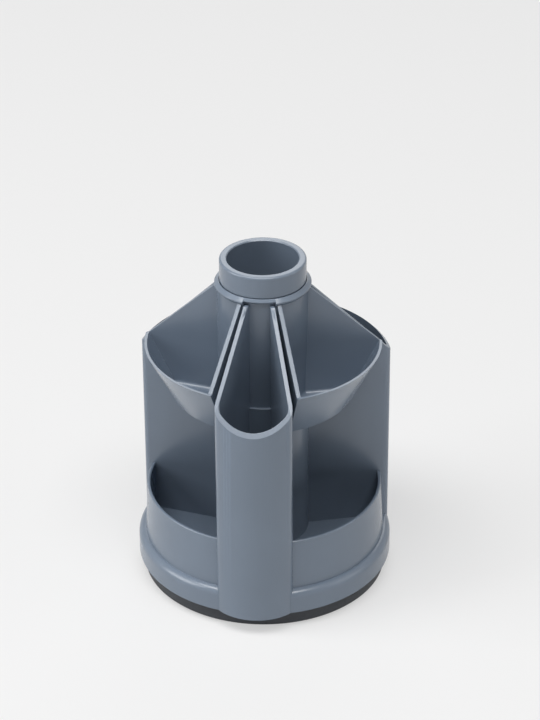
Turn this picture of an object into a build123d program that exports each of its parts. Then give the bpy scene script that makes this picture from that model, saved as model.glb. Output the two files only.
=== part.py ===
"""Rotating desk organizer: a caddy that turns on a low round foot.

Millimetres and degrees. The origin is on the turning axis at table level, +Z is up,
and the pocket for scissors points to -Y. Angles in plan are measured from +X.
"""
import math
import os

from build123d import *

os.makedirs("parts", exist_ok=True)

# ---- driving dimensions: heights above the table
foot_height = 0.8            # underside of the base, which stands on its pads
base_plate_top = 3.0
skirt_bottom = 8.0           # lower edge of the turntable
seam_height = 18.3           # floor of the bins and top of the turntable's shoulder
bin_rim_height = 41.0
tray_bottom = 87.3
tray_rim_height = 109.5
caddy_top_at_ring = 135.4
ring_height = 136.0          # where the tray's sloping wall tops reach the ring
ring_edge_height = 137.8
ring_top = 139.2
column_top = 139.4
overall_height = 148.8

# ---- driving dimensions: radii and slopes
turntable_radius = 54.3
shoulder_round = 3.0
column_radius = 17.9
cup_radius = 18.05           # of the thick lip that shows above the ring
column_foot_radius = 19.0
top_radius = 20.0            # where the sloping wall tops start
ring_radius = 20.1
tray_rim_radius = 49.7
tray_bottom_radius = 38.2
bin_rim_radius = 50.1
base_radius = 51.9
pocket_front = 58.7          # the pocket stands proud of the turntable
caddy_slope = 1.02           # fall of the caddy's sloping wall tops, per mm outwards
side_wall_angle = 14.8       # of the walls between the front and the rear half

# ---- wall thicknesses and clearances
wall = 1.6
tray_wall = 1.2
pocket_wall = 1.7
partition_wall = 1.7
bin_wall = 1.3
skirt_wall = 1.8
floor_thickness = 2.0
slip = 0.3                   # between parts that lift out and what guides them
seat = 0.05                  # under or round parts that rest on each other

# ---- bearing under the turntable
bearing_radius = 42.0
race_thickness = 1.0
race_half_width = 2.8
lower_race_top = 11.0
ball_count = 8
ball_play = 0.02

# ---- worked-out values
seam_radius = turntable_radius - shoulder_round
floor_underside = seam_height - floor_thickness
upper_race_bottom = floor_underside - race_thickness
ball_height = (lower_race_top + upper_race_bottom) / 2
ball_radius = (upper_race_bottom - lower_race_top) / 2 - ball_play
tray_slope = (ring_height - tray_rim_height) / (tray_rim_radius - tray_wall - top_radius)
column_step = tray_bottom - 2 * seat         # the column is thicker below the tray
above_all = overall_height + 10.0
far = 2 * turntable_radius
UPRIGHT = (Align.CENTER, Align.CENTER, Align.MIN)


def along(angle, offset, distance):
    """Point at a distance along a line at an angle, moved to the line's left by an offset."""
    turn = math.radians(angle)
    x = distance * math.cos(turn) - offset * math.sin(turn)
    y = distance * math.sin(turn) + offset * math.cos(turn)
    return (x, y)


def turned(*outline):
    """Solid of revolution about the turning axis from (radius, height) points."""
    with BuildPart() as solid:
        with BuildSketch(Plane.XZ):
            with BuildLine():
                Polyline(*outline, close=True)
            make_face()
        revolve(axis=Axis.Z)
    return solid.part


def under_slope(top, slope):
    """Everything under a cone that falls outwards from the ring."""
    return turned((0, 0), (far, 0), (far, top - slope * (far - top_radius)), (top_radius, top), (0, top))


def save(piece, name):
    """Label a finished piece and write it to its own file."""
    piece.part.label = name
    export_step(piece.part, f"parts/{name}.step")


# ---- shared outlines
# The envelope of the turntable, which the pocket's toe is fitted over.
with BuildPart() as turntable_envelope:
    with Locations((0, 0, skirt_bottom)):
        Cylinder(turntable_radius, seam_height - skirt_bottom, align=UPRIGHT)
    fillet(turntable_envelope.edges().group_by(Axis.Z)[-1], radius=shoulder_round)

# The outside of the column, which the caddy, the pocket and the tray are fitted round.
column_envelope = turned((0, seam_height), (column_foot_radius, seam_height),
                         (column_foot_radius, column_step), (column_radius, column_step),
                         (column_radius, above_all), (0, above_all))

# Plan of the rear caddy: the rear half of the turntable, with rounded front corners.
caddy_face_offset = -3.4
caddy_corner_round = 3.0
with BuildSketch() as caddy_plan:
    Circle(turntable_radius)
    with BuildLine():
        Polyline(along(side_wall_angle, caddy_face_offset, far),
                 (0, caddy_face_offset / math.cos(math.radians(side_wall_angle))),
                 along(180 - side_wall_angle, -caddy_face_offset, far),
                 (-far, -far), (far, -far), close=True)
    make_face(mode=Mode.SUBTRACT)
    fillet(caddy_plan.vertices().filter_by(lambda corner: corner.center().length > turntable_radius - 1),
           radius=caddy_corner_round)

# Plan of the pocket: straight sides that spread from the column, and a bowed front.
pocket_side_angle = 17.4
pocket_corner_x, pocket_corner_y = 16.4, -50.8
pocket_corner_round = 5.0
pocket_root_y = -12.0
pocket_spread = (pocket_root_y - pocket_corner_y) * math.tan(math.radians(pocket_side_angle))
pocket_root_x = pocket_corner_x - pocket_spread
with BuildSketch() as pocket_plan:
    with BuildLine():
        Polyline((-pocket_corner_x, pocket_corner_y), (-pocket_root_x, pocket_root_y),
                 (pocket_root_x, pocket_root_y), (pocket_corner_x, pocket_corner_y))
        ThreePointArc((pocket_corner_x, pocket_corner_y), (0, -pocket_front),
                      (-pocket_corner_x, pocket_corner_y))
    make_face()
    fillet(pocket_plan.vertices().group_by(Axis.Y)[0], radius=pocket_corner_round)

# ---- screws that hold the organizer together from below
screw_radius = 1.4
screw_hole_radius = screw_radius + slip - 2 * seat
screw_pilot_radius = screw_radius + seat
screw_head_radius = 2.7
screw_head_height = 1.6
screw_length = 7.0
screw_boss_radius = 3.2
screw_boss_height = 6.7
column_screw_circle = 13.6
caddy_screw_circle = 31.0
pocket_screw_circle = 32.0
column_screw_places = [along(angle, 0, column_screw_circle) for angle in (90, 210, 330)]
caddy_screw_places = [along(angle, 0, caddy_screw_circle) for angle in (38, 142)]
pocket_screw_places = [(0, -pocket_screw_circle)]
screw_places = column_screw_places + caddy_screw_places + pocket_screw_places


def studs(places, radius, height):
    """Round studs that stand on the turntable at the given places."""
    with BuildPart() as solid:
        with BuildSketch(Plane.XY.offset(seam_height)):
            with Locations(*places):
                Circle(radius)
        extrude(amount=height)
    return solid.part


with BuildPart() as assembly_screws:
    for place in screw_places:
        with BuildSketch(Plane.XY.offset(floor_underside)):
            with Locations(place):
                Circle(screw_head_radius)
        extrude(amount=-screw_head_height)
        with BuildSketch(Plane.XY.offset(floor_underside)):
            with Locations(place):
                Circle(screw_radius)
        extrude(amount=screw_length)
save(assembly_screws, "assembly_screws")

# ---- base foot: dark round dish with a hub, a bearing track and ribs
base_wall = 1.8
base_wall_top = 11.6
base_edge = 0.6              # chamfer round the underside
hub_radius = 10.0
hub_top = 13.5
spindle_radius = 4.0
spindle_clearance = 0.06
spindle_bottom = 6.2
bush_radius = 5.2
bush_gap = 0.02              # a light press fit in the hub
bush_flange_radius = 7.0
bush_flange_thickness = 0.8
washer_radius = 6.8
washer_thickness = 1.0
washer_play = 0.1
pivot_screw_reach = 8.0
well_radius = 7.5            # of the well that the washer and the screw head turn in
track_half_width = 3.2
rib_count = 8
rib_top = 8.0
rib_start = hub_radius - 1.0         # the ribs run into the hub and the track
pad_radius = 6.0
pad_circle = 40.0
pad_count = 4
pad_edge = 0.3
recess_depth = 1.0           # the pads and the plug are set into the base by this much
plug_radius = 9.5
plug_stem_radius = 7.2
plug_stem_top = 2.7

with BuildPart() as base_foot:
    with Locations((0, 0, foot_height)):
        Cylinder(base_radius, base_wall_top - foot_height, align=UPRIGHT)
        Cylinder(bearing_radius + track_half_width, base_wall_top, align=UPRIGHT, mode=Mode.SUBTRACT)
    with BuildSketch(Plane.XY.offset(base_plate_top)):
        Circle(base_radius - base_wall)
        Circle(bearing_radius, mode=Mode.SUBTRACT)
    extrude(amount=base_wall_top, mode=Mode.SUBTRACT)
    with BuildSketch(Plane.XY.offset(foot_height)):
        Circle(bearing_radius + track_half_width)
    extrude(amount=base_plate_top - foot_height)
    with BuildSketch(Plane.XY.offset(foot_height)):
        Circle(bearing_radius + track_half_width)
        Circle(bearing_radius - track_half_width, mode=Mode.SUBTRACT)
    extrude(amount=lower_race_top - race_thickness - foot_height)
    with BuildSketch(Plane.XY.offset(base_plate_top)):
        with PolarLocations((rib_start + bearing_radius) / 2, rib_count):
            Rectangle(bearing_radius - rib_start, wall)
    extrude(amount=rib_top - base_plate_top)
    with Locations((0, 0, foot_height)):
        Cylinder(hub_radius, hub_top - foot_height, align=UPRIGHT)
        Cylinder(plug_radius, recess_depth, align=UPRIGHT, mode=Mode.SUBTRACT)
        Cylinder(well_radius, spindle_bottom + washer_play - foot_height, align=UPRIGHT,
                 mode=Mode.SUBTRACT)
        Cylinder(bush_radius + bush_gap, hub_top, align=UPRIGHT, mode=Mode.SUBTRACT)
    with BuildSketch(Plane.XY.offset(foot_height)):
        with PolarLocations(pad_circle, pad_count, start_angle=45):
            Circle(pad_radius)
    extrude(amount=recess_depth, mode=Mode.SUBTRACT)
    chamfer(base_foot.edges().filter_by(GeomType.CIRCLE).group_by(Axis.Z)[0].sort_by(SortBy.RADIUS)[-1],
            length=base_edge)
save(base_foot, "base_foot")

# ---- flanged bush in the hub, in which the spindle turns
with BuildPart() as pivot_bush:
    add(turned((spindle_radius + spindle_clearance, spindle_bottom + washer_play),
               (bush_radius, spindle_bottom + washer_play), (bush_radius, hub_top),
               (bush_flange_radius, hub_top), (bush_flange_radius, hub_top + bush_flange_thickness),
               (spindle_radius + spindle_clearance, hub_top + bush_flange_thickness)))
save(pivot_bush, "pivot_bush")

# ---- rubber under the base: four pads, and a plug that closes the well
for number in range(pad_count):
    with BuildPart() as rubber_pad:
        with BuildSketch():
            with PolarLocations(pad_circle, 1, start_angle=45 + 90 * number):
                Circle(pad_radius)
        extrude(amount=foot_height + recess_depth)
        chamfer(rubber_pad.edges().group_by(Axis.Z)[0], length=pad_edge)
    save(rubber_pad, f"rubber_pad_{number + 1}")

with BuildPart() as rubber_plug:
    Cylinder(plug_radius, foot_height + recess_depth, align=UPRIGHT)
    chamfer(rubber_plug.edges().group_by(Axis.Z)[0], length=pad_edge)
    Cylinder(plug_stem_radius, plug_stem_top, align=UPRIGHT)
save(rubber_plug, "rubber_plug")

# ---- bearing: two steel races, a cage and its balls
for race_name, race_bottom in (("lower_race", lower_race_top - race_thickness),
                               ("upper_race", upper_race_bottom)):
    with BuildPart() as race:
        with BuildSketch(Plane.XY.offset(race_bottom)):
            Circle(bearing_radius + race_half_width)
            Circle(bearing_radius - race_half_width, mode=Mode.SUBTRACT)
        extrude(amount=race_thickness)
    save(race, race_name)

cage_half_width = 3.6
cage_half_height = 0.7
cage_clearance = 0.12
with BuildPart() as ball_cage:
    with BuildSketch(Plane.XY.offset(ball_height - cage_half_height)):
        Circle(bearing_radius + cage_half_width)
        Circle(bearing_radius - cage_half_width, mode=Mode.SUBTRACT)
        with PolarLocations(bearing_radius, ball_count):
            Circle(ball_radius + cage_clearance, mode=Mode.SUBTRACT)
    extrude(amount=2 * cage_half_height)
save(ball_cage, "ball_cage")

with BuildPart() as bearing_balls:
    with Locations((0, 0, ball_height)):
        with PolarLocations(bearing_radius, ball_count):
            Sphere(ball_radius)
save(bearing_balls, "bearing_balls")

# ---- turntable: skirt with a rounded shoulder, floor, bins' front wall and spindle
rim_edge = 0.3
wall_root = 0.5              # the front wall is let into the floor by this much
root_thickness = bin_wall + 0.6
root_radius = seam_radius - root_thickness
bin_front_ring = turned((root_radius, seam_height - wall_root), (seam_radius, seam_height - wall_root),
                        (bin_rim_radius, bin_rim_height), (bin_rim_radius - bin_wall, bin_rim_height))
with BuildPart() as bin_front:
    add(bin_front_ring)
    chamfer(bin_front.edges().group_by(Axis.Z)[-1], length=rim_edge)
    with BuildSketch(Plane.XY):
        add(caddy_plan.sketch)
        add(pocket_plan.sketch)
    extrude(amount=above_all, mode=Mode.SUBTRACT)

with BuildPart() as turntable:
    add(turntable_envelope.part)
    with BuildSketch(Plane.XY.offset(seam_height - shoulder_round)):
        add(caddy_plan.sketch)
    extrude(amount=shoulder_round)
    add(bin_front.part)
    Cylinder(turntable_radius - skirt_wall, floor_underside, align=UPRIGHT, mode=Mode.SUBTRACT)
    with Locations((0, 0, spindle_bottom)):
        Cylinder(spindle_radius, floor_underside - spindle_bottom, align=UPRIGHT)
    with BuildSketch(Plane.XY.offset(floor_underside)):
        with Locations(*screw_places):
            Circle(screw_hole_radius)
    extrude(amount=floor_thickness, mode=Mode.SUBTRACT)
    with Locations((0, 0, spindle_bottom)):
        Cylinder(screw_pilot_radius, pivot_screw_reach, align=UPRIGHT, mode=Mode.SUBTRACT)
save(turntable, "turntable")

# ---- pivot screw and washer, which keep the turntable on the base
washer_bottom = spindle_bottom - washer_thickness
pivot_head_radius = 3.6
pivot_head_height = 2.2
pivot_head_edge = 0.8
with BuildPart() as pivot_washer:
    with BuildSketch(Plane.XY.offset(washer_bottom)):
        Circle(washer_radius)
        Circle(screw_hole_radius, mode=Mode.SUBTRACT)
    extrude(amount=washer_thickness)
save(pivot_washer, "pivot_washer")

with BuildPart() as pivot_screw:
    with BuildSketch(Plane.XY.offset(washer_bottom)):
        Circle(pivot_head_radius)
    extrude(amount=-pivot_head_height)
    chamfer(pivot_screw.edges().group_by(Axis.Z)[0], length=pivot_head_edge)
    with BuildSketch(Plane.XY.offset(washer_bottom)):
        Circle(screw_radius)
    extrude(amount=pivot_screw_reach)
save(pivot_screw, "pivot_screw")

# ---- column: stepped tube in the middle
column_bore = 16.2
column_lower_bore = 17.2
bore_cone_bottom = column_step - 5.0
bore_cone_top = column_step - 2.0
with BuildPart() as center_column:
    add(column_envelope)
    add(turned((0, seam_height + wall), (column_lower_bore, seam_height + wall),
               (column_lower_bore, bore_cone_bottom), (column_bore, bore_cone_top),
               (column_bore, above_all), (0, above_all)), mode=Mode.SUBTRACT)
    split(bisect_by=Plane.XY.offset(column_top), keep=Keep.BOTTOM)
    add(studs(column_screw_places, screw_boss_radius, screw_boss_height))
    add(studs(column_screw_places, screw_pilot_radius, screw_length), mode=Mode.SUBTRACT)
save(center_column, "center_column")

# ---- pen cup: lift-out liner whose thick lip stands on the column
cup_bore = 14.9
cup_outside = column_bore - slip
cup_floor_bottom = 27.0
cup_seat = column_top + seat
lip_round = 0.9
lip_inner_edge = 0.4
with BuildPart() as pen_cup:
    add(turned((0, cup_floor_bottom), (cup_outside, cup_floor_bottom), (cup_outside, cup_seat),
               (cup_radius, cup_seat), (cup_radius, overall_height),
               (cup_bore, overall_height), (cup_bore, cup_floor_bottom + tray_wall),
               (0, cup_floor_bottom + tray_wall)))
    fillet(pen_cup.edges().group_by(Axis.Z)[-1].sort_by(SortBy.RADIUS)[-1], radius=lip_round)
    chamfer(pen_cup.edges().group_by(Axis.Z)[-1].sort_by(SortBy.RADIUS)[0], length=lip_inner_edge)
save(pen_cup, "pen_cup")

# ---- rear caddy: three tall compartments behind the column
caddy_floor_top = seam_height + wall
divider_angles = (64, 116)
sleeve_wall = 0.85
sleeve_inside = column_radius + slip + seat
sleeve_outside = sleeve_inside + sleeve_wall
caddy_step = tray_bottom - 2.0
caddy_clearance = turned((0, seam_height), (column_foot_radius, seam_height),
                         (column_foot_radius, caddy_step), (sleeve_outside + slip, caddy_step),
                         (sleeve_outside + slip, above_all), (0, above_all))
with BuildPart() as rear_caddy:
    with BuildSketch(Plane.XY.offset(seam_height)):
        add(caddy_plan.sketch)
    extrude(amount=column_top - seam_height)
    with BuildSketch(Plane.XY.offset(caddy_floor_top)):
        add(caddy_plan.sketch)
        offset(amount=-wall, mode=Mode.REPLACE)
        with Locations(*[Location((0, 0, 0), (0, 0, angle)) for angle in divider_angles]):
            Rectangle(turntable_radius, wall, align=(Align.MIN, Align.CENTER), mode=Mode.SUBTRACT)
    extrude(amount=column_top, mode=Mode.SUBTRACT)
    add(studs(caddy_screw_places, screw_boss_radius, screw_boss_height))
    add(studs(caddy_screw_places, screw_pilot_radius, screw_length), mode=Mode.SUBTRACT)
    add(under_slope(caddy_top_at_ring, caddy_slope), mode=Mode.INTERSECT)
    add(caddy_clearance, mode=Mode.SUBTRACT)
save(rear_caddy, "rear_caddy")

# ---- scissor pocket: open sleeve in front, its toe hooked over the turntable
with BuildPart() as scissor_pocket:
    with BuildSketch(Plane.XY.offset(skirt_bottom)):
        add(pocket_plan.sketch)
    extrude(amount=column_top - skirt_bottom)
    with BuildSketch(Plane.XY.offset(seam_height + wall)):
        add(pocket_plan.sketch)
        offset(amount=-pocket_wall, mode=Mode.REPLACE)
    extrude(amount=column_top, mode=Mode.SUBTRACT)
    add(studs(pocket_screw_places, screw_boss_radius, screw_boss_height))
    add(studs(pocket_screw_places, screw_pilot_radius, screw_length), mode=Mode.SUBTRACT)
    add(under_slope(ring_height, tray_slope), mode=Mode.INTERSECT)
    add(turntable_envelope.part, mode=Mode.SUBTRACT)
    add(column_envelope, mode=Mode.SUBTRACT)
save(scissor_pocket, "scissor_pocket")

# ---- upper tray: lift-out insert with two cells hung from a ring round the column
partition_angle = -90 + 19.7
partition_inner_offset = 0.9
back_wall_offset = -11.0     # of the cell's back wall from the axis, at the floor
back_wall_lean = 5.3         # the back walls lean back as they rise
tray_floor_top = tray_bottom + tray_wall
cell_floor_round = 1.6
cell_corner_round = 2.0
slope_end_height = ring_height + tray_slope * (top_radius - sleeve_outside)
ring_rim = 0.6               # upright edge of the ring
ring_flat = 0.35
bridge_radius = 19.3         # the ring is narrower and thinner over the pocket
bridge_top = 138.25
bridge_front = 0.35
bridge_bottom = 137.0


def side_plane(offset, height):
    """Leaning plane of the right-hand back wall, its normal to the rear."""
    turn = math.radians(side_wall_angle)
    lean = math.radians(back_wall_lean)
    normal = (-math.sin(turn) * math.cos(lean), math.cos(turn) * math.cos(lean), -math.sin(lean))
    return Plane(origin=(*along(side_wall_angle, offset, 0), height), z_dir=normal)


def partition_plane(offset):
    """Upright plane of the right-hand partition, its normal to the cell."""
    turn = math.radians(partition_angle + 90)
    return Plane(origin=(*along(partition_angle, offset, 0), 0), z_dir=(math.cos(turn), math.sin(turn), 0))


# Hollow of the right-hand cell, and the block that it is cut from.
with BuildPart() as cell_hollow:
    add(turned((sleeve_outside, tray_floor_top), (tray_bottom_radius - tray_wall, tray_floor_top),
               (tray_rim_radius - tray_wall, tray_rim_height), (tray_rim_radius - tray_wall, above_all),
               (sleeve_outside, above_all)))
    split(bisect_by=partition_plane(partition_inner_offset + partition_wall), keep=Keep.TOP)
    split(bisect_by=side_plane(back_wall_offset, tray_floor_top), keep=Keep.BOTTOM)
    fillet(cell_hollow.edges().group_by(Axis.Z)[0], radius=cell_floor_round)

with BuildPart() as cell_block:
    add(turned((sleeve_inside, tray_bottom), (tray_bottom_radius, tray_bottom),
               (tray_rim_radius, tray_rim_height), (tray_rim_radius - tray_wall, tray_rim_height),
               (sleeve_outside, slope_end_height), (sleeve_inside, slope_end_height)))
    split(bisect_by=partition_plane(partition_inner_offset), keep=Keep.TOP)
    split(bisect_by=side_plane(back_wall_offset + tray_wall, tray_floor_top), keep=Keep.BOTTOM)
    tall_edges = cell_block.edges().filter_by(lambda edge: edge.length > tray_rim_height - tray_bottom)
    fillet(tall_edges.sort_by(Axis.X)[-1], radius=cell_corner_round)

# Wedge in front, between the partitions, where the sleeve and the ring are cut for the pocket.
with BuildPart() as front_wedge:
    with BuildSketch(Plane.XY):
        with BuildLine():
            Polyline((0, 0), along(partition_angle, partition_inner_offset, far),
                     along(-180 - partition_angle, -partition_inner_offset, far), close=True)
        make_face()
    extrude(amount=above_all)

# The ring, with a ledge that slopes to its edge, and a narrow bridge over the pocket.
with BuildPart() as tray_ring:
    add(turned((sleeve_inside, tray_bottom), (sleeve_outside, tray_bottom), (sleeve_outside, ring_height),
               (ring_radius, ring_edge_height - ring_rim), (ring_radius, ring_edge_height),
               (sleeve_inside + ring_flat, ring_top), (sleeve_inside, ring_top)))
    add(front_wedge.part, mode=Mode.SUBTRACT)
    add(turned((sleeve_inside, bridge_bottom), (bridge_radius, bridge_top - bridge_front),
               (bridge_radius, bridge_top), (sleeve_inside + ring_flat, ring_top),
               (sleeve_inside, ring_top)))

with BuildPart() as upper_tray:
    add(cell_block.part)
    add(cell_block.part.mirror(Plane.YZ))
    add(cell_hollow.part, mode=Mode.SUBTRACT)
    add(cell_hollow.part.mirror(Plane.YZ), mode=Mode.SUBTRACT)
    add(tray_ring.part)
save(upper_tray, "upper_tray")
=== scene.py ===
"""Looks of the rotating desk organizer: finishes of every part, floor, lights and camera.

Metres. The origin is on the turning axis at the surface the organizer stands on, +Z is up,
and the scissor pocket points to -Y.
"""
import math

import bmesh
import bpy
from mathutils import Matrix, Vector


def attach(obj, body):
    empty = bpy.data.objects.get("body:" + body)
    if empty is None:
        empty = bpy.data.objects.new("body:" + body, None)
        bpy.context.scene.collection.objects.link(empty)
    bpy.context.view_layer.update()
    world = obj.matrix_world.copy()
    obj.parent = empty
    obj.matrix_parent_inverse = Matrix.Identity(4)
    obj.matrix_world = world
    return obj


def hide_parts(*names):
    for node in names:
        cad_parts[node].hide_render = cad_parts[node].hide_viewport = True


bl_info = {
    "name": "Rotating desk organizer",
    "version": (1, 0, 0),
    "blender": (4, 5, 0),
    "location": "View3D > Sidebar > Organizer",
    "description": "Finishes, floor, lights and camera of a rotating desk organizer",
    "category": "Object",
}

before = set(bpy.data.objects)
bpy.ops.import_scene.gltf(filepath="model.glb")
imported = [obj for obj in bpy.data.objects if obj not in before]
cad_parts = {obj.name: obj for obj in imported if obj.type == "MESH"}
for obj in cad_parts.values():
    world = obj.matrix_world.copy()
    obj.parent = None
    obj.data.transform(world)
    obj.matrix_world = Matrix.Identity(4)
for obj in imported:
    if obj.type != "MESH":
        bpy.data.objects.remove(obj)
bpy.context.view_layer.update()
MM = 0.001

# where the rounded and the true normal agree less than the first, the edge mask is full, and
# where they agree more than the second, there is none
EDGE_FULL = 0.75
EDGE_NONE = 0.995
EDGE_SAMPLES = 6
# how noise is drawn out: up the walls, as plastic flows into them, and round the axis
FLOW_STRETCH = (1, 1, 0.18)
RING_STRETCH = (0.004, 0.004, 1)
RING_DEPTH = 0.02 * MM
SCRATCH_SPACING = 0.08 * MM

# the plane of the pocket's rim falls by as much as it goes forward, and meets the axis here
POCKET_RIM_HEIGHT = 156.15 * MM
POCKET_RIM_NORMAL = (0, -1, 1)
MERGE_DISTANCE = 0.001 * MM
CUT_TOLERANCE = 0.0001 * MM
SHARP_ANGLE = math.radians(25)

# the point that the camera and the lamps look at
AIM = Vector((2.75 * MM, 0.22 * MM, 99.84 * MM))
FLOOR_SIZE = 6.0
FLOOR_GAP = 0.05 * MM          # so that the pads' undersides and the floor aren't one plane
# shares of the backdrop's colour. Where the floor is looked at, its glow and its own colour add up
# to the backdrop under the lamps, and where it only throws light back, it has the third share
FLOOR_GLOW = 0.60
FLOOR_SEEN = 0.37
FLOOR_BOUNCE = 1.05
# name, place, width and height in metres, power in watts
LAMPS = (
    ("overhead softbox", (-0.17, -0.65, 2.21), (2.6, 1.0), 60.0),
    ("left softbox", (-2.20, -0.66, 1.15), (1.35, 1.6), 31.0),
    ("right softbox", (2.20, -0.30, 1.15), (1.35, 1.6), 7.0),
    ("rear softbox", (0.10, 2.60, 1.68), (1.7, 1.3), 13.0),
)
WORLD_LIGHT = 0.0              # the lamps give all the light, and the world is only looked at


# ---- settings that a user would change
class OrganizerColours(bpy.types.PropertyGroup):
    """Colours of the organizer's materials."""
    body: bpy.props.FloatVectorProperty(
        name="Body", description="Blue-grey of the moulded organizer",
        subtype="COLOR", size=3, min=0, max=1, default=(0.140, 0.177, 0.229))
    base: bpy.props.FloatVectorProperty(
        name="Base", description="Dark grey of the foot that it turns on",
        subtype="COLOR", size=3, min=0, max=1, default=(0.025, 0.029, 0.036))
    rubber: bpy.props.FloatVectorProperty(
        name="Rubber", description="Black of the pads and the plug under the foot",
        subtype="COLOR", size=3, min=0, max=1, default=(0.016, 0.016, 0.017))
    cage: bpy.props.FloatVectorProperty(
        name="Cage", description="Natural white of the bearing's plastic cage",
        subtype="COLOR", size=3, min=0, max=1, default=(0.62, 0.61, 0.55))
    steel: bpy.props.FloatVectorProperty(
        name="Steel", description="Grey of the races, balls, screws and washer",
        subtype="COLOR", size=3, min=0, max=1, default=(0.56, 0.57, 0.58))
    backdrop: bpy.props.FloatVectorProperty(
        name="Backdrop", description="Pale grey of the floor and what is behind it",
        subtype="COLOR", size=3, min=0, max=1, default=(0.855, 0.855, 0.855))


class OrganizerSizes(bpy.types.PropertyGroup):
    """Sizes of the surface detail, the camera's place and the lights."""
    edge_softness: bpy.props.FloatProperty(
        name="Edge softness", description="Radius that the moulded edges appear rounded by",
        subtype="DISTANCE", unit="LENGTH", min=0, max=0.002, default=0.22 * MM)
    grain_size: bpy.props.FloatProperty(
        name="Grain size", description="Size of the fine satin texture on the mouldings",
        subtype="DISTANCE", unit="LENGTH", min=0.0001, max=0.01, default=0.45 * MM)
    camera_distance: bpy.props.FloatProperty(
        name="Camera distance", description="From the lens to the middle of the organizer",
        subtype="DISTANCE", unit="LENGTH", min=0.3, max=5, default=1.1731)
    camera_azimuth: bpy.props.FloatProperty(
        name="Camera azimuth", description="Angle to the right of straight in front",
        subtype="ANGLE", unit="ROTATION", min=-math.pi, max=math.pi, default=math.radians(4.643))
    camera_elevation: bpy.props.FloatProperty(
        name="Camera elevation", description="Angle above the horizon",
        subtype="ANGLE", unit="ROTATION", min=-math.pi / 2, max=math.pi / 2,
        default=math.radians(30.560))
    camera_roll: bpy.props.FloatProperty(
        name="Camera roll", description="Angle that the camera is turned by about its view",
        subtype="ANGLE", unit="ROTATION", min=-math.pi / 18, max=math.pi / 18,
        default=math.radians(-0.32))
    lens: bpy.props.FloatProperty(
        name="Lens", description="Focal length on a 36 mm tall frame, in millimetres",
        unit="CAMERA", min=20, max=400, default=140)


# ---- small helpers for node materials
class Shader:
    """A material's node tree, with short calls to add and join nodes."""

    def __init__(self, name):
        self.material = bpy.data.materials.new(name)
        self.material.use_nodes = True
        self.tree = self.material.node_tree
        self.tree.nodes.clear()
        self.surface = self.add("ShaderNodeBsdfPrincipled")
        output = self.add("ShaderNodeOutputMaterial")
        self.join(self.surface.outputs["BSDF"], output.inputs["Surface"])
        self.place = self.add("ShaderNodeTexCoord").outputs["Object"]

    def add(self, kind, **settings):
        """New node with its settings."""
        node = self.tree.nodes.new(kind)
        for setting, value in settings.items():
            setattr(node, setting, value)
        return node

    def join(self, source, target):
        """Link from an output socket to an input socket."""
        self.tree.links.new(source, target)

    def noise(self, size, detail, roughness=0.5, stretch=(1, 1, 1)):
        """Noise whose features are about as large as size, in metres."""
        mapping = self.add("ShaderNodeMapping")
        mapping.inputs["Scale"].default_value = stretch
        texture = self.add("ShaderNodeTexNoise")
        texture.inputs["Scale"].default_value = 1 / size
        texture.inputs["Detail"].default_value = detail
        texture.inputs["Roughness"].default_value = roughness
        self.join(self.place, mapping.inputs["Vector"])
        self.join(mapping.outputs["Vector"], texture.inputs["Vector"])
        return texture.outputs["Fac"]

    def spread(self, value, low, high, start=0.3, end=0.7):
        """Value between start and end, spread to the range from low to high."""
        node = self.add("ShaderNodeMapRange")
        node.inputs["From Min"].default_value = start
        node.inputs["From Max"].default_value = end
        node.inputs["To Min"].default_value = low
        node.inputs["To Max"].default_value = high
        self.join(value, node.inputs["Value"])
        return node.outputs["Result"]

    def shade(self, colour, value):
        """Colour made lighter or darker by a value about 1."""
        node = self.add("ShaderNodeVectorMath", operation="SCALE")
        node.inputs[0].default_value = colour
        self.join(value, node.inputs["Scale"])
        return node.outputs["Vector"]

    def multiply(self, first, second):
        """Product of two values."""
        node = self.add("ShaderNodeMath", operation="MULTIPLY")
        self.join(first, node.inputs[0])
        self.join(second, node.inputs[1])
        return node.outputs["Value"]

    def bump(self, height, depth, under=None):
        """Bump of a depth in metres, on top of another bump's normal."""
        node = self.add("ShaderNodeBump")
        node.inputs["Strength"].default_value = 1.0
        node.inputs["Distance"].default_value = depth
        self.join(height, node.inputs["Height"])
        if under:
            self.join(under, node.inputs["Normal"])
        return node.outputs["Normal"]

    def edges(self, radius):
        """Normal rounded over the edges, and a mask that is 1 on them."""
        bevel = self.add("ShaderNodeBevel", samples=EDGE_SAMPLES)
        bevel.inputs["Radius"].default_value = radius
        true_normal = self.add("ShaderNodeNewGeometry").outputs["Normal"]
        dot = self.add("ShaderNodeVectorMath", operation="DOT_PRODUCT")
        self.join(bevel.outputs["Normal"], dot.inputs[0])
        self.join(true_normal, dot.inputs[1])
        mask = self.spread(dot.outputs["Value"], 1.0, 0.0, EDGE_FULL, EDGE_NONE)
        return bevel.outputs["Normal"], mask

    def set(self, **values):
        """Plain numbers on the surface's own sockets."""
        for socket, value in values.items():
            self.surface.inputs[socket.replace("_", " ")].default_value = value

    def finish(self, colour, roughness=None, normal=None):
        """Joins the worked-out sockets to the surface and returns the material."""
        for value, socket in ((colour, "Base Color"), (roughness, "Roughness"), (normal, "Normal")):
            if value:
                self.join(value, self.surface.inputs[socket])
        return self.material


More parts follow.
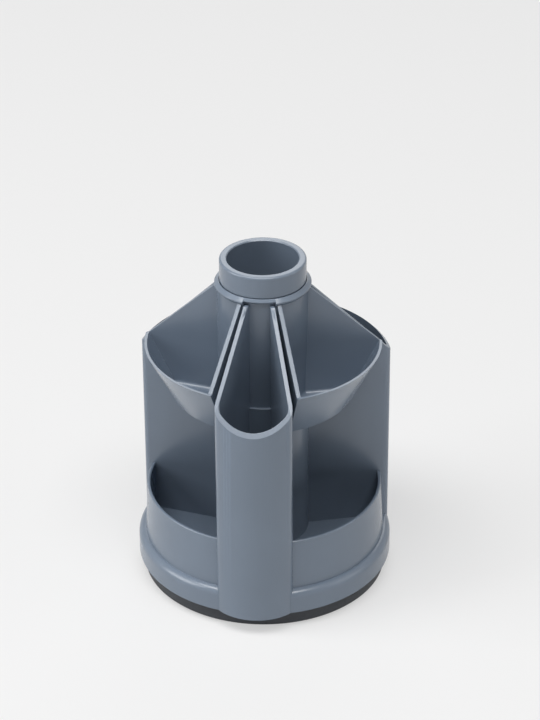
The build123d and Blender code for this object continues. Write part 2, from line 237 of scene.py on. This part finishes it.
# ---- finishes
def satin_moulding(colour, sizes, rings=0.0):
    """Blue-grey plastic with a fine satin texture, faint flow marks and a painted highlight that
    lightens its edges.

    A part that is drawn off its core also has fine rings round the axis, as deep as rings says.
    """
    shader = Shader("ringed moulding" if rings else "satin moulding")
    rounded, edge = shader.edges(sizes.edge_softness)
    clouds = shader.spread(shader.noise(30 * MM, 2), 0.975, 1.02)
    flow = shader.spread(shader.noise(12 * MM, 4, 0.6, FLOW_STRETCH), 0.985, 1.012)
    # painted highlight: the colour is made up to a quarter lighter on the edges, where light would
    # catch them
    painted_edge_highlight = shader.spread(edge, 1.0, 1.25, 0.0, 1.0)
    tone = shader.multiply(shader.multiply(clouds, flow), painted_edge_highlight)
    roughness = shader.spread(shader.noise(4 * MM, 4), 0.22, 0.262)
    normal = shader.bump(shader.noise(6 * MM, 1), 0.006 * MM, rounded)
    if rings:
        normal = shader.bump(shader.noise(1.6 * MM, 3, 0.6, RING_STRETCH), rings, normal)
    normal = shader.bump(shader.noise(sizes.grain_size, 3, 0.6), 0.002 * MM, normal)
    shader.set(IOR=1.58)
    return shader.finish(shader.shade(colour, tone), roughness, normal)


def matt_moulding(colour, sizes):
    """Dark plastic with a coarser spark-eroded texture and a painted highlight on its edges."""
    shader = Shader("matt moulding")
    rounded, edge = shader.edges(sizes.edge_softness)
    # painted highlight: the colour is made up to half again lighter on the edges, where light would
    # catch them
    tone = shader.multiply(shader.spread(shader.noise(14 * MM, 3), 0.92, 1.08),
                           shader.spread(edge, 1.0, 1.5, 0.0, 1.0))
    roughness = shader.spread(shader.noise(2 * MM, 4), 0.48, 0.62)
    grainy = shader.bump(shader.noise(0.6 * MM, 3, 0.65), 0.02 * MM, rounded)
    return shader.finish(shader.shade(colour, tone), roughness, grainy)


def soft_rubber(colour):
    """Black rubber, matt and slightly dusty."""
    shader = Shader("soft rubber")
    tone = shader.spread(shader.noise(3 * MM, 5, 0.6), 0.8, 1.6)
    roughness = shader.spread(shader.noise(1.5 * MM, 3), 0.75, 0.92)
    grainy = shader.bump(shader.noise(0.35 * MM, 2), 0.02 * MM)
    return shader.finish(shader.shade(colour, tone), roughness, grainy)


def rolled_steel(colour):
    """Steel strip, with fine scratches round the turning axis."""
    shader = Shader("rolled steel")
    length = shader.add("ShaderNodeVectorMath", operation="LENGTH")
    shader.join(shader.place, length.inputs[0])
    rings = shader.add("ShaderNodeTexNoise", noise_dimensions="1D")
    rings.inputs["Scale"].default_value = 1 / SCRATCH_SPACING
    rings.inputs["Detail"].default_value = 2
    shader.join(length.outputs["Value"], rings.inputs["W"])
    tone = shader.spread(shader.noise(5 * MM, 3), 0.9, 1.08)
    roughness = shader.spread(rings.outputs["Fac"], 0.2, 0.42)
    scratched = shader.bump(rings.outputs["Fac"], 0.003 * MM)
    shader.set(Metallic=1.0)
    return shader.finish(shader.shade(colour, tone), roughness, scratched)


def polished_steel(colour):
    """Polished balls with a trace of oil."""
    shader = Shader("polished steel")
    tone = shader.spread(shader.noise(1.5 * MM, 3), 1.15, 1.3)
    roughness = shader.spread(shader.noise(0.8 * MM, 3), 0.06, 0.16)
    shader.set(Metallic=1.0)
    return shader.finish(shader.shade(colour, tone), roughness)


def plated_steel(colour):
    """Zinc-plated screws and washer, slightly cloudy."""
    shader = Shader("plated steel")
    tone = shader.spread(shader.noise(1.2 * MM, 4), 0.85, 1.15)
    roughness = shader.spread(shader.noise(0.6 * MM, 3), 0.26, 0.44)
    grainy = shader.bump(shader.noise(0.25 * MM, 3), 0.004 * MM)
    shader.set(Metallic=1.0)
    return shader.finish(shader.shade(colour, tone), roughness, grainy)


def natural_plastic(colour):
    """Milky plastic of the ball cage and the bush."""
    shader = Shader("natural plastic")
    tone = shader.spread(shader.noise(4 * MM, 3), 0.93, 1.05)
    roughness = shader.spread(shader.noise(2 * MM, 3), 0.34, 0.46)
    grainy = shader.bump(shader.noise(0.5 * MM, 2), 0.008 * MM)
    shader.set(Subsurface_Weight=0.2, Subsurface_Scale=1.5 * MM)
    return shader.finish(shader.shade(colour, tone), roughness, grainy)


def paint(material, *names):
    """Gives a material to every slot of the named CAD nodes."""
    for name in names:
        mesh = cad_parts[name].data
        if not mesh.materials:
            mesh.materials.append(material)
        for slot in range(len(mesh.materials)):
            mesh.materials[slot] = material


# ---- one operator for each group of like pieces
class OrganizerStep(bpy.types.Operator):
    """Base of the organizer's operators: what they read."""
    bl_options = {"REGISTER", "UNDO"}

    @property
    def colours(self):
        return bpy.context.scene.organizer_colours

    @property
    def sizes(self):
        return bpy.context.scene.organizer_sizes


class ORGANIZER_OT_mouldings(OrganizerStep):
    """Finish the turntable, caddy, column, tray and cup"""
    bl_idname = "organizer.mouldings"
    bl_label = "Finish mouldings"

    def execute(self, context):
        paint(satin_moulding(self.colours.body, self.sizes),
              "turntable", "rear_caddy", "center_column", "upper_tray")
        paint(satin_moulding(self.colours.body, self.sizes, rings=RING_DEPTH), "pen_cup")
        return {"FINISHED"}


class ORGANIZER_OT_pocket(OrganizerStep):
    """Cut the pocket's bowed front down to the plane that its rim lies in, and finish it"""
    bl_idname = "organizer.pocket"
    bl_label = "Cut and finish pocket"

    def execute(self, context):
        form = bmesh.new()
        form.from_mesh(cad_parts["scissor_pocket"].data)
        bmesh.ops.remove_doubles(form, verts=form.verts, dist=MERGE_DISTANCE)
        bmesh.ops.bisect_plane(form, geom=[*form.verts, *form.edges, *form.faces],
                               dist=CUT_TOLERANCE, plane_co=(0, 0, POCKET_RIM_HEIGHT),
                               plane_no=POCKET_RIM_NORMAL, clear_outer=True)
        cap = bmesh.ops.holes_fill(form, edges=[edge for edge in form.edges if edge.is_boundary])
        bmesh.ops.triangulate(form, faces=cap["faces"])
        bmesh.ops.recalc_face_normals(form, faces=form.faces)
        mesh = bpy.data.meshes.new("pocket_sleeve")
        form.to_mesh(mesh)
        form.free()
        mesh.shade_smooth()
        mesh.set_sharp_from_angle(angle=SHARP_ANGLE)
        sleeve = bpy.data.objects.new("pocket_sleeve", mesh)
        bpy.context.collection.objects.link(sleeve)
        mesh.materials.append(satin_moulding(self.colours.body, self.sizes))
        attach(sleeve, "organizer")
        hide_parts("scissor_pocket")
        return {"FINISHED"}


class ORGANIZER_OT_base(OrganizerStep):
    """Finish the foot"""
    bl_idname = "organizer.base"
    bl_label = "Finish foot"

    def execute(self, context):
        paint(matt_moulding(self.colours.base, self.sizes), "base_foot")
        return {"FINISHED"}


class ORGANIZER_OT_rubber(OrganizerStep):
    """Finish the pads and the plug under the foot"""
    bl_idname = "organizer.rubber"
    bl_label = "Finish rubber"

    def execute(self, context):
        paint(soft_rubber(self.colours.rubber),
              "rubber_pad_1", "rubber_pad_2", "rubber_pad_3", "rubber_pad_4", "rubber_plug")
        return {"FINISHED"}


class ORGANIZER_OT_bearing(OrganizerStep):
    """Finish the races, the balls, their cage and the bush on the pivot"""
    bl_idname = "organizer.bearing"
    bl_label = "Finish bearing"

    def execute(self, context):
        paint(rolled_steel(self.colours.steel), "lower_race", "upper_race")
        paint(polished_steel(self.colours.steel), "bearing_balls")
        paint(natural_plastic(self.colours.cage), "ball_cage", "pivot_bush")
        return {"FINISHED"}


class ORGANIZER_OT_screws(OrganizerStep):
    """Finish the screws and the washer"""
    bl_idname = "organizer.screws"
    bl_label = "Finish screws"

    def execute(self, context):
        paint(plated_steel(self.colours.steel), "assembly_screws", "pivot_screw", "pivot_washer")
        return {"FINISHED"}


# ---- stage
def looked_at(tree):
    """Socket that is 1 for what the camera sees, straight or in gloss or glass, and 0 for light."""
    path = tree.nodes.new("ShaderNodeLightPath")
    seen = path.outputs["Is Camera Ray"]
    for ray in ("Is Glossy Ray", "Is Transmission Ray"):
        larger = tree.nodes.new("ShaderNodeMath")
        larger.operation = "MAXIMUM"
        tree.links.new(seen, larger.inputs[0])
        tree.links.new(path.outputs[ray], larger.inputs[1])
        seen = larger.outputs["Value"]
    return seen


class ORGANIZER_OT_stage(OrganizerStep):
    """Set up the floor, the backdrop, the lights and the camera"""
    bl_idname = "organizer.stage"
    bl_label = "Set up stage"

    def floor(self):
        bpy.ops.mesh.primitive_plane_add(size=FLOOR_SIZE, location=(0, 0, -FLOOR_GAP))
        floor = bpy.context.object
        floor.name = "floor"
        shader = Shader("pale floor")
        shader.set(Roughness=0.9, Specular_IOR_Level=0.0,
                   Emission_Color=(*self.colours.backdrop, 1))
        seen = looked_at(shader.tree)
        share = shader.spread(seen, FLOOR_BOUNCE, FLOOR_SEEN, 0.0, 1.0)
        glow = shader.spread(seen, 0.0, FLOOR_GLOW, 0.0, 1.0)
        shader.join(glow, shader.surface.inputs["Emission Strength"])
        floor.data.materials.append(shader.finish(shader.shade(self.colours.backdrop, share)))

    def world(self):
        world = bpy.data.worlds.new("plain light")
        bpy.context.scene.world = world
        world.use_nodes = True
        tree = world.node_tree
        tree.nodes.clear()
        light = tree.nodes.new("ShaderNodeBackground")
        light.inputs["Color"].default_value = (1, 1, 1, 1)
        light.inputs["Strength"].default_value = WORLD_LIGHT
        shown = tree.nodes.new("ShaderNodeBackground")
        shown.inputs["Color"].default_value = (*self.colours.backdrop, 1)
        mix = tree.nodes.new("ShaderNodeMixShader")
        output = tree.nodes.new("ShaderNodeOutputWorld")
        tree.links.new(looked_at(tree), mix.inputs["Fac"])
        tree.links.new(light.outputs["Background"], mix.inputs[1])
        tree.links.new(shown.outputs["Background"], mix.inputs[2])
        tree.links.new(mix.outputs["Shader"], output.inputs["Surface"])

    def lamps(self):
        for name, place, (width, height), power in LAMPS:
            data = bpy.data.lights.new(name, "AREA")
            data.shape = "RECTANGLE"
            data.size = width
            data.size_y = height
            data.energy = power
            lamp = bpy.data.objects.new(name, data)
            lamp.location = place
            lamp.rotation_euler = (AIM - Vector(place)).to_track_quat("-Z", "Y").to_euler()
            bpy.context.collection.objects.link(lamp)

    def camera(self):
        sizes = self.sizes
        data = bpy.data.cameras.new("camera")
        data.lens = sizes.lens
        camera = bpy.data.objects.new("camera", data)
        azimuth = sizes.camera_azimuth
        elevation = sizes.camera_elevation
        back = Vector((math.sin(azimuth) * math.cos(elevation),
                       -math.cos(azimuth) * math.cos(elevation),
                       math.sin(elevation)))
        level = (-back).to_track_quat("-Z", "Y").to_matrix()
        turn = level @ Matrix.Rotation(sizes.camera_roll, 3, "Z")
        camera.matrix_world = Matrix.Translation(AIM + back * sizes.camera_distance) @ turn.to_4x4()
        bpy.context.collection.objects.link(camera)
        bpy.context.scene.camera = camera

    def execute(self, context):
        self.floor()
        self.world()
        self.lamps()
        self.camera()
        context.scene.view_settings.view_transform = "Standard"
        return {"FINISHED"}


class ORGANIZER_PT_panel(bpy.types.Panel):
    """Panel with the organizer's settings and steps"""
    bl_idname = "ORGANIZER_PT_panel"
    bl_label = "Desk organizer"
    bl_space_type = "VIEW_3D"
    bl_region_type = "UI"
    bl_category = "Organizer"

    def draw(self, context):
        for group in (context.scene.organizer_colours, context.scene.organizer_sizes):
            for name in group.__annotations__:
                self.layout.prop(group, name)
        for step in STEPS:
            self.layout.operator(step.bl_idname)


STEPS = (ORGANIZER_OT_mouldings, ORGANIZER_OT_pocket, ORGANIZER_OT_base, ORGANIZER_OT_rubber,
         ORGANIZER_OT_bearing, ORGANIZER_OT_screws, ORGANIZER_OT_stage)
CLASSES = (OrganizerColours, OrganizerSizes, *STEPS, ORGANIZER_PT_panel)


def register():
    for cls in CLASSES:
        bpy.utils.register_class(cls)
    bpy.types.Scene.organizer_colours = bpy.props.PointerProperty(type=OrganizerColours)
    bpy.types.Scene.organizer_sizes = bpy.props.PointerProperty(type=OrganizerSizes)


def unregister():
    del bpy.types.Scene.organizer_sizes
    del bpy.types.Scene.organizer_colours
    for cls in reversed(CLASSES):
        bpy.utils.unregister_class(cls)


def main():
    """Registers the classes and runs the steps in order."""
    register()
    bpy.ops.organizer.mouldings()
    bpy.ops.organizer.pocket()
    bpy.ops.organizer.base()
    bpy.ops.organizer.rubber()
    bpy.ops.organizer.bearing()
    bpy.ops.organizer.screws()
    bpy.ops.organizer.stage()


if __name__ == "__main__":
    main()
